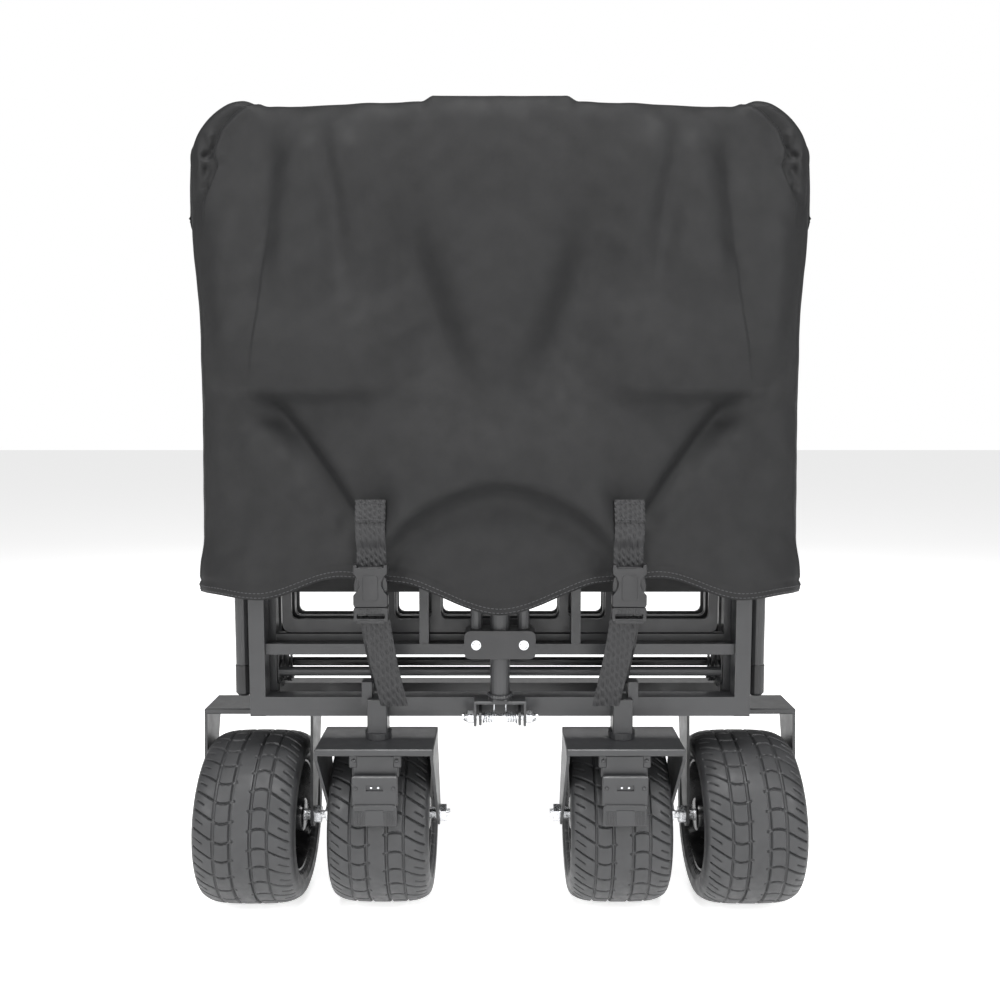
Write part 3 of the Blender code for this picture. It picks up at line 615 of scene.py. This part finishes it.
def build_cover():
    points, normal = cover_surface()
    verts = points.reshape(-1, 3)
    made = piece("cover_fabric", verts, grid_faces(COVER_ROWS, COVER_COLUMNS), FABRIC, 80)
    bm = bmesh.new()
    bm.from_mesh(made.data)
    edge = [v for v in bm.verts if abs(abs(v.co.y - SEAM_Y)) < 0.004 and abs(v.co.x) > 0.26]
    bmesh.ops.remove_doubles(bm, verts=edge, dist=4e-4)
    bm.to_mesh(made.data)
    bm.free()
    solid = made.modifiers.new("thickness", "SOLIDIFY")
    solid.thickness = 0.0009
    solid.offset = -1
    stand_for(made, "cover", "fabric", "cover")
    return made, points, normal


def stitches(name, points, normals, length, lift, body, slot):
    """Short raised thread stitches laid along a line of points."""
    points = np.asarray(points)
    step = np.linalg.norm(np.diff(points, axis=0), axis=1)
    reach = np.concatenate([[0], np.cumsum(step)])
    verts, faces = [], []
    for start in np.arange(length * 0.3, reach[-1] - length, length * 1.35):
        ends = [np.array([np.interp(start + d, reach, points[:, k]) for k in range(3)]) for d in (0, length)]
        n = np.array([np.interp(start, reach, normals[:, k]) for k in range(3)])
        along = (ends[1] - ends[0]) / max(np.linalg.norm(ends[1] - ends[0]), 1e-9)
        side = np.cross(along, n)
        side /= max(np.linalg.norm(side), 1e-9)
        first = len(verts)
        for share, rise in ((0, -0.4), (0.25, 0.7), (0.5, 1.0), (0.75, 0.7), (1, -0.4)):
            base = ends[0] + (ends[1] - ends[0]) * share + n * rise * lift
            half = 0.00042 * (0.5 + 0.5 * math.sin(math.pi * share))
            verts += [base - side * half, base + n * half, base + side * half, base - n * half]
        for ring in range(4):
            for k in range(4):
                a = first + ring * 4 + k
                b = first + ring * 4 + (k + 1) % 4
                faces.append((a, b, b + 4, a + 4))
        faces += [(first, first + 1, first + 2, first + 3), (first + 19, first + 18, first + 17, first + 16)]
    return stand_for(piece(name, verts, faces, THREAD, 60), body, slot)


def cover_stitching(points, normal):
    """Two rows of stitches along the hem, front and back, one piece each."""
    rows = []
    for label, low_half in (("front", True), ("back", False)):
        half = slice(0, COVER_ROWS // 2) if low_half else slice(COVER_ROWS - 1, COVER_ROWS // 2, -1)
        sheet, turned = points[half], normal[half]
        for number, drop in enumerate((0.0022, 0.0066)):
            line, facing = [], []
            for column in range(4, COVER_COLUMNS - 4, 2):
                z = sheet[:, column, 2]
                row = int(np.argmax(z > z[0] + drop))
                share = (z[0] + drop - z[row - 1]) / max(z[row] - z[row - 1], 1e-9)
                line.append(sheet[row - 1, column] * (1 - share) + sheet[row, column] * share)
                facing.append(turned[row, column])
            rows.append((f"hem_stitches_{label}_{number + 1}", np.array(line), np.array(facing)))
    for name, line, facing in rows:
        stitches(name, line, facing, 0.0030, 0.0003, "cover", "fabric")


def surface_y(points, x, z):
    """The cover's front surface at a place: its y."""
    front = points[: COVER_ROWS * 45 // 100]
    column = int(np.argmin(abs(front[COVER_ROWS // 10, :, 0] - x)))
    heights = front[:, column, 2]
    return float(np.interp(z, heights, front[:, column, 1]))


# ---- webbing and buckles ----


def strip(name, path, widthwise, width, thick, material, ripple=0.0):
    """Webbing of a given width and thickness along a path of points, with softly rounded edges."""
    path = np.asarray(path, float)
    fine = np.linspace(0, len(path) - 1, (len(path) - 1) * 12 + 1)
    centre = np.stack([np.interp(fine, np.arange(len(path)), path[:, k]) for k in range(3)], -1)
    for _ in range(6):
        centre[1:-1] = (centre[:-2] + 2 * centre[1:-1] + centre[2:]) / 4
    across = np.asarray(widthwise, float)
    along = np.gradient(centre, axis=0)
    normal = np.cross(along, across)
    normal /= np.maximum(np.linalg.norm(normal, axis=1, keepdims=True), 1e-9)
    columns = 14
    ring = []
    for k in range(columns + 1):
        w = -1 + 2 * k / columns
        ring.append((w, math.sqrt(max(0, 1 - abs(w) ** 8))))
    loop = [(w, t) for w, t in ring] + [(w, -t) for w, t in reversed(ring[1:-1])]
    verts = []
    for number, (spot, n) in enumerate(zip(centre, normal)):
        for w, t in loop:
            wobble = ripple * math.sin(number * 0.9 + w * 2)
            verts.append(spot + across * w * width / 2 + n * (t * thick / 2 + wobble))
    count = len(loop)
    faces = []
    for row in range(len(centre) - 1):
        for k in range(count):
            a, b = row * count + k, row * count + (k + 1) % count
            faces.append((a, b, b + count, a + count))
    faces.append(tuple(range(count)))
    faces.append(tuple(reversed(range(len(verts) - count, len(verts)))))
    return piece(name, verts, faces, material, 55)


def upper_webbing(side, points):
    low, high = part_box("cover_strap_" + side)
    x = (low.x + high.x) / 2
    width = high.x - low.x
    heights = np.linspace(high.z, low.z - 0.004, 8)
    across = [x + k * width / 2 for k in (-1, 0, 1)]
    nearest = [min(surface_y(points, place, z) for place in across) for z in heights]
    path = [(x, min(y - 0.0016, low.y + 0.0035), z) for y, z in zip(nearest, heights)]
    made = strip("cover_webbing_" + side, path, (1, 0, 0), width, 0.0016, WEBBING)
    stand_for(made, "cover", "webbing", "cover_strap_" + side)
    fold = [(x, path[0][1] - 0.0012, high.z + 0.0006), (x, path[2][1] - 0.0017, high.z - 0.0205)]
    top = strip("cover_webbing_fold_" + side, fold, (1, 0, 0), width + 0.0006, 0.0018, WEBBING)
    stand_for(top, "cover", "webbing")
    for number, z in enumerate((high.z - 0.0025, high.z - 0.0180)):
        y = float(np.interp(z, heights[::-1], [p[1] for p in path][::-1])) - 0.0026
        line = [(x + k * width * 0.44, y, z) for k in np.linspace(-1, 1, 9)]
        name = f"webbing_stitches_{side}_{number}"
        stitches(name, line, np.tile((0.0, -1.0, 0.0), (9, 1)), 0.0026, 0.0003, "cover", "webbing")
    return path[-1][1]


def buckle_socket(side):
    """The female half: horned top, waisted sides that show the release tabs, and a shallow raised panel."""
    low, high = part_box("buckle_socket_" + side)
    x, half = (low.x + high.x) / 2, (high.x - low.x) / 2
    front, back = low.y, high.y - 0.0012
    top, bottom = high.z, low.z
    right = [(half * 0.94, bottom), (half, bottom + 0.002), (half, bottom + 0.0110)]
    right += [(half * 0.80, bottom + 0.0150), (half * 0.66, bottom + 0.0200), (half * 0.66, bottom + 0.0240)]
    right += [(half * 0.80, bottom + 0.0290), (half * 0.98, bottom + 0.0320), (half, top - 0.0035)]
    right += [(half * 0.97, top), (half * 0.78, top), (half * 0.74, top - 0.0030)]
    left = [(-a, b) for a, b in reversed(right)]
    body = outline_solid([(x + a, b) for a, b in right + left], front, back, 0.0012)
    plain = rounded((-half * 0.46, bottom + 0.006), (half * 0.46, top - 0.010), 0.003)
    panel = outline_solid([(x + a, b) for a, b in plain], front, front + 0.004, 0.0007)
    panel = ([v + Vector((0, -0.0006, 0)) for v in panel[0]], panel[1])
    bar_low = (x - half * 0.74, front + 0.002, top - 0.0058)
    bar_high = (x + half * 0.74, back - 0.002, top - 0.0022)
    bar = block(bar_low, bar_high, 0.0008)
    parts = [body, panel, bar]
    for s in (-1, 1):
        tab = [(0.66 * half, bottom + 0.0120), (0.94 * half, bottom + 0.0150), (0.97 * half, bottom + 0.0210)]
        tab += [(0.90 * half, bottom + 0.0275), (0.66 * half, bottom + 0.0310)]
        ring = [(x + s * a, b) for a, b in tab]
        parts.append(outline_solid(ring if s > 0 else ring[::-1], front + 0.0030, back - 0.0025, 0.0008))
    made = merged("side_release_socket_" + side, parts, PLASTIC, 35)
    return stand_for(made, "cover", "black_plastic", "buckle_socket_" + side)


def buckle_plug(side):
    """The male half: a ladder-lock end with two bars that the webbing passes round."""
    low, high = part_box("buckle_plug_" + side)
    x, half = (low.x + high.x) / 2, (high.x - low.x) / 2
    window = rounded((x - half * 0.80, low.z + 0.0034), (x + half * 0.80, low.z + 0.0078), 0.0012)
    outline = rounded((x - half, low.z), (x + half, high.z), 0.0026)
    shell = outline_solid(outline, low.y, high.y, 0.0009, [window])
    lip_low = (x - half * 0.82, low.y - 0.0006, low.z - 0.0012)
    lip_high = (x + half * 0.82, low.y + 0.0030, low.z + 0.0018)
    lip = block(lip_low, lip_high, 0.0007)
    teeth = [
        block(
            (x + k * half * 0.20 - 0.0008, low.y - 0.0005, low.z + 0.0082),
            (x + k * half * 0.20 + 0.0008, low.y + 0.001, high.z - 0.002),
            0.0003,
        )
        for k in range(-3, 4)
    ]
    made = merged("ladder_lock_plug_" + side, [shell, lip, *teeth], PLASTIC, 35)
    return stand_for(made, "front_frame", "black_plastic", "buckle_plug_" + side)


def lower_webbing(side, s):
    """The free tail in front, and behind it the loaded strand that goes down to the lower bar."""
    low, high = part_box("strap_tail_" + side)
    width = 0.0270
    drift = -s * 0.0115
    start_x = STRAP_X * s - s * 0.0040
    front = [
        (start_x, low.y + 0.0022, high.z + 0.004),
        (start_x + drift * 0.25, low.y + 0.0060, high.z - 0.020),
        (start_x + drift * 0.60, low.y + 0.0125, high.z - 0.048),
        (start_x + drift, low.y + 0.0190, low.z + 0.018),
        (start_x + drift * 1.25, low.y + 0.0255, low.z),
    ]
    made = strip("strap_tail_webbing_" + side, front, (1, 0, 0), width, 0.0016, WEBBING, 0.00025)
    stand_for(made, "front_frame", "webbing", "strap_tail_" + side)
    behind = [
        (start_x - drift * 0.20, low.y + 0.0060, high.z + 0.004),
        (start_x - drift * 0.10, low.y + 0.0200, high.z - 0.025),
        (start_x + drift * 0.10, -0.0480, high.z - 0.062),
        (start_x + drift * 0.15, -0.0425, high.z - 0.075),
    ]
    made = strip("strap_load_webbing_" + side, behind, (1, 0, 0), width, 0.0015, WEBBING)
    stand_for(made, "front_frame", "webbing")


# ---- wheels ----

TYRE_RADIUS = (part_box("rear_tyre_left")[1].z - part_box("rear_tyre_left")[0].z) / 2
TYRE_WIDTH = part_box("rear_tyre_left")[1].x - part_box("rear_tyre_left")[0].x
RIM_RADIUS = (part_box("rear_rim_left")[1].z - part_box("rear_rim_left")[0].z) / 2
TREAD_STEPS = 696
TREAD_COLUMNS = 124
BLOCKS = 29
GROOVE = 0.0024
RIB = 0.0100
COLUMN_EDGE = 0.0270


def tread_depth(angle, w):
    """How deep the tread is cut, as a share of a full groove, at an angle and a place w across the tyre."""
    pitch = 2 * math.pi / BLOCKS
    a = abs(w)

    def slot(value, half, soft):
        return 1 - smooth(abs(value), half - soft, half + soft)

    def repeat(value):
        """Distance along the tread to the nearest cross line, in metres."""
        return (np.mod(value / pitch + 0.5, 1) - 0.5) * pitch * TYRE_RADIUS

    half_pitch = (w > 0) * pitch / 2
    cut = slot(a - RIB, 0.0014, 0.0005)
    cut = np.maximum(cut, 0.8 * slot(a - COLUMN_EDGE, 0.0012, 0.0005))
    inside = smooth(a, RIB, RIB + 0.0006) * (1 - smooth(a, COLUMN_EDGE - 0.0006, COLUMN_EDGE))
    across = (a - (RIB + COLUMN_EDGE) / 2) / ((COLUMN_EDGE - RIB) / 2)
    bow = 0.0026 * (1 - across**2) * np.sign(w)
    cut = np.maximum(cut, inside * slot(repeat(angle + bow / TYRE_RADIUS + half_pitch), 0.0010, 0.0004))
    notch = smooth(a, RIB - 0.0036, RIB - 0.0030) * (1 - smooth(a, RIB, RIB + 0.0006))
    cut = np.maximum(cut, notch * slot(repeat(angle + half_pitch), 0.0009, 0.0004))
    slope = (w - np.sign(w) * COLUMN_EDGE) * 0.60
    shoulder = smooth(a, COLUMN_EDGE + 0.0010, COLUMN_EDGE + 0.0018) * (1 - smooth(a, 0.0470, 0.0485))
    cut = np.maximum(cut, shoulder * slot(repeat(angle - slope / TYRE_RADIUS + half_pitch), 0.0010, 0.0004))
    sipe = smooth(a, 0.0375, 0.0381) * (1 - smooth(a, 0.0465, 0.0475))
    shifted = angle - slope / TYRE_RADIUS + pitch / 2 + half_pitch
    return np.maximum(cut, 0.7 * sipe * slot(repeat(shifted), 0.0008, 0.0004))


def tyre_profile():
    """(radius, place across) from one bead round the tread to the other."""
    half = TYRE_WIDTH / 2
    crown = np.linspace(-half + 0.0035, half - 0.0035, TREAD_COLUMNS)
    drop = 0.0085 * (abs(crown) / half) ** 6 + 0.0020 * (abs(crown) / half) ** 2
    profile = [(TYRE_RADIUS - d, w) for d, w in zip(drop, crown)]
    edge = profile[-1][0]
    wall = [(edge - 0.0024, half - 0.0016), (edge - 0.0054, half - 0.0004), (edge - 0.0090, half)]
    wall += [(RIM_RADIUS + 0.0090, half - 0.0008), (RIM_RADIUS + 0.0072, half - 0.0006)]
    wall += [(RIM_RADIUS + 0.0060, half - 0.0018), (RIM_RADIUS + 0.0030, half - 0.0028)]
    wall += [(RIM_RADIUS + 0.0006, half - 0.0050), (RIM_RADIUS + 0.0004, half - 0.0090)]
    return [(r, -w) for r, w in reversed(wall)] + profile + wall


def tyre_mesh():
    """The tyre round the X axis at the origin, with its tread cut into the crown. All four tyres share it."""
    profile = np.array(tyre_profile())
    angle = np.linspace(0, 2 * math.pi, TREAD_STEPS, endpoint=False)[:, None]
    radius = np.broadcast_to(profile[:, 0], (TREAD_STEPS, len(profile)))
    w = np.broadcast_to(profile[:, 1], (TREAD_STEPS, len(profile)))
    radius = radius - GROOVE * tread_depth(angle, w)
    verts = np.stack([w, radius * np.cos(angle), radius * np.sin(angle)], -1).reshape(-1, 3)
    count = len(profile)
    index = np.arange(TREAD_STEPS * count).reshape(TREAD_STEPS, count)
    index = np.vstack([index, index[:1]])
    index = np.hstack([index, index[:, :1]])
    faces = np.stack([index[:-1, :-1], index[:-1, 1:], index[1:, 1:], index[1:, :-1]], -1).reshape(-1, 4)
    holder = piece("tread", verts, faces, RUBBER, 50)
    mesh = holder.data
    bpy.data.objects.remove(holder)
    return mesh


def rim_profile():
    """(along, radius) of the rim from the barrel's lip through the dish to the hub, closed on itself."""
    half = TYRE_WIDTH / 2
    lip = [(half - 0.0070, RIM_RADIUS), (half - 0.0062, RIM_RADIUS - 0.0006)]
    lip += [(half - 0.0060, RIM_RADIUS - 0.0024), (half - 0.0068, RIM_RADIUS - 0.0038)]
    lip.append((half - 0.0100, RIM_RADIUS - 0.0044))
    barrel = [(0.0180, RIM_RADIUS - 0.0070), (0.0125, RIM_RADIUS - 0.0082), (0.0104, RIM_RADIUS - 0.0120)]
    web = [(0.0096, 0.0330), (0.0100, 0.0260), (0.0130, 0.0215), (0.0200, 0.0188)]
    hub = [(half - 0.0080, 0.0174), (half - 0.0052, 0.0168), (half - 0.0042, 0.0152), (half - 0.0040, 0.0066)]
    outer = lip + barrel + web + hub
    mirrored = [(-along, radius) for along, radius in reversed(outer)]
    return outer + mirrored + [outer[0]]


def build_wheel(kind, side, tread):
    tyre, rim = f"{kind}_tyre_{side}", f"{kind}_rim_{side}"
    low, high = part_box(tyre)
    centre = (low + high) / 2
    body = BODY_OF[tyre]
    made = bpy.data.objects.new(f"{kind}_treaded_tyre_{side}", tread)
    bpy.context.scene.collection.objects.link(made)
    made.location = centre
    made.rotation_euler = (0 if kind == "rear" else math.pi / 2, 0, 0)
    stand_for(made, body, "tyre_rubber", tyre)
    made = lathe(f"{kind}_dished_rim_{side}", rim_profile(), 96, centre, (1, 0, 0), GLOSS, 35)
    stand_for(made, body, "rim_plastic", rim)
    ribs = []
    for way in (-1, 1):
        for number in range(8):
            rib = block((0.0090, -0.0020, 0.0190), (0.0165, 0.0020, RIM_RADIUS - 0.0078), 0.0012)
            turn = Matrix.Rotation(number * math.pi / 4, 3, "X")
            ribs.append(([turn @ Vector((way * v.x, v.y, v.z)) + centre for v in rib[0]], rib[1]))
    made = merged(f"{kind}_rim_ribs_{side}", ribs, GLOSS, 35)
    stand_for(made, body, "rim_plastic")


# ---- fasteners, welds and small hardware ----


def dome(name, centre, axis, radius, height, body, material=ZINC, slot="zinc", ring=True):
    """A rivet or button head standing on a face, with a thin washer under it."""
    profile = [(-0.0006, 0.0)]
    if ring:
        profile += [(-0.0006, radius * 1.28), (height * 0.16, radius * 1.26), (height * 0.20, radius * 1.02)]
    profile += [(height * math.sin(a), radius * math.cos(a)) for a in np.radians(np.linspace(8, 84, 8))]
    profile += [(height, 0.0)]
    return stand_for(lathe(name, profile, 32, centre, axis, material, 40), body, slot)


def weld_bead(name, centre, axis, radius, width, body):
    """A rippled fillet of weld round a tube."""
    steps, around = 96, 10
    turn = Vector(axis).normalized().to_track_quat("Z", "Y").to_matrix()
    verts = []
    for n in range(steps):
        a = 2 * math.pi * n / steps
        swell = 1 + 0.16 * math.sin(a * 26) + 0.07 * math.sin(a * 7 + 1)
        for k in range(around):
            b = 2 * math.pi * k / around
            r = radius + width * swell * math.cos(b)
            spot = Vector((r * math.cos(a), r * math.sin(a), width * swell * math.sin(b)))
            verts.append(turn @ spot + Vector(centre))
    index = np.arange(steps * around).reshape(steps, around)
    index = np.vstack([index, index[:1]])
    index = np.hstack([index, index[:, :1]])
    faces = np.stack([index[:-1, :-1], index[:-1, 1:], index[1:, 1:], index[1:, :-1]], -1).reshape(-1, 4)
    return stand_for(piece(name, verts, faces, PAINT, 60), body, "painted_steel")


WELD_Z = 0.2432
PEDAL_RIVET_Z = 0.1556
PEDAL_RIB_Z = (0.1190, 0.1330)
PEDAL_PATCH_Z = (0.1186, 0.1340)
PEDAL_BRIDGE_Z = (0.1362, 0.1392)
PEDAL_SPRING_Z = (0.1546, 0.1568)
HOUSING_RIVET_Z = 0.1815


def painted_rivets(name, x, reach, y, z, radius, height, body):
    """A rivet on each side of x, painted with the sheet that it holds."""
    for k, letter in ((-1, "a"), (1, "b")):
        place = (x + k * reach, y, z)
        dome(f"{name}_{letter}", place, (0, -1, 0), radius, height, body, PAINT, "painted_steel", False)


def pedal_grip(x, y):
    """The ribbed patch on a brake pedal's foot, and the bar above it."""
    parts = []
    for k in (-1, 1):
        for n in range(6):
            rib_x = x + k * (0.0110 + n * 0.0016)
            rib_low = (rib_x - 0.0005, y - 0.0006, PEDAL_RIB_Z[0])
            rib_high = (rib_x + 0.0005, y + 0.0006, PEDAL_RIB_Z[1])
            parts.append(block(rib_low, rib_high, 0.0003))
    patch = rounded((x - 0.0092, PEDAL_PATCH_Z[0]), (x + 0.0092, PEDAL_PATCH_Z[1]), 0.0015)
    parts.append(outline_solid(patch, y - 0.0008, y + 0.001, 0.0004))
    bridge_low = (x - 0.0200, y - 0.0002, PEDAL_BRIDGE_Z[0])
    parts.append(block(bridge_low, (x + 0.0200, y + 0.0020, PEDAL_BRIDGE_Z[1]), 0.0008))
    return parts


def pedal_springs(x, y):
    """The two spring ends that show in a brake pedal's slot."""
    return [
        block(
            (x + k * 0.0035 - 0.0012, y + 0.0026, PEDAL_SPRING_Z[0]),
            (x + k * 0.0035 + 0.0012, y + 0.0040, PEDAL_SPRING_Z[1]),
            0.0005,
        )
        for k in (-1, 1)
    ]


def build_hardware():
    low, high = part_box("handle_clamp")
    clamp = BODY_OF["handle_clamp"]
    for side, s in SIDES:
        place = (s * 0.0235, low.y, (low.z + high.z) / 2)
        dome(f"clamp_rivet_{side}", place, (0, -1, 0), 0.0038, 0.0022, clamp)
    low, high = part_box("handle_tube")
    weld_at = (0, (low.y + high.y) / 2, WELD_Z)
    weld_bead("handle_weld", weld_at, (0, 0, 1), 0.0112, 0.0019, BODY_OF["handle_tube"])
    for side, _ in SIDES:
        low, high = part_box("brake_pedal_" + side)
        x = (low.x + high.x) / 2
        body = BODY_OF["brake_pedal_" + side]
        painted_rivets("pedal_rivet_" + side, x, 0.0185, low.y + 0.0011, PEDAL_RIVET_Z, 0.0020, 0.0012, body)
        grip = merged("pedal_grip_" + side, pedal_grip(x, low.y), PAINT, 35)
        stand_for(grip, body, "painted_steel")
        springs = merged("pedal_springs_" + side, pedal_springs(x, low.y), ZINC, 35)
        stand_for(springs, body, "zinc")
        housing = "brake_housing_" + side
        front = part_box(housing)[0].y
        rivets = "housing_rivet_" + side
        painted_rivets(rivets, x, 0.0213, front, HOUSING_RIVET_Z, 0.0022, 0.0014, BODY_OF[housing])


# ---- finishes of the CAD nodes that stay ----


def node_material(name):
    if "axle" in name or name in ("handle_pivot_bolt", "handle_spring"):
        return ZINC
    if name.startswith(("floor_panel", "floor_flap", "strut_foot")):
        return PLASTIC
    if name in ("handle_guide", "handle_clamp", "handle_grip"):
        return PLASTIC
    if name.startswith(("tub_", "cover")):
        return FABRIC
    # Rear frame, rear struts and floor tubes take the darker copy of the paint: painted shade, not a
    # different finish.
    rear = ("inner_strut_rear", "outer_struts_rear", "rear_frame", "telescoping_post_rear")
    if name.startswith((*rear, "floor_tube")):
        return SHADED_PAINT
    return PAINT


def finish_nodes():
    for name, node in NODES.items():
        if node.hide_render:
            continue
        node.data.materials.clear()
        node.data.materials.append(node_material(name))
        node.data.shade_smooth()
        node.data.set_sharp_from_angle(angle=math.radians(32))
        wide = name.startswith(("caster_fork", "rear_wheel_bracket"))
        bevel(node, 0.0016 if wide else 0.0001 if "spring" in name else 0.0008, 3 if wide else 2)


def build_floor():
    size = 14.0
    verts = [(-size, -size, 0), (size, -size, 0), (size, size, 0), (-size, size, 0)]
    ground = Shader("pale_floor", (0.93, 0.93, 0.93), 0.75)
    ground.tint(ground.noise(3, 2), 0.995, 1.005)
    ground.principled.inputs["Emission Color"].default_value = (1, 1, 1, 1)
    ground.principled.inputs["Emission Strength"].default_value = FLOOR_GLOW
    floor = piece("floor", verts, [(0, 1, 2, 3)], ground.material)


def build():
    set_camera()
    set_light()
    build_floor()
    cover, points, normal = build_cover()
    cover_stitching(points, normal)
    for side, s in SIDES:
        upper_webbing(side, points)
        buckle_socket(side)
        buckle_plug(side)
        lower_webbing(side, s)
    tread = tyre_mesh()
    for kind in ("caster", "rear"):
        for side, _ in SIDES:
            build_wheel(kind, side, tread)
    build_hardware()
    finish_nodes()


build()
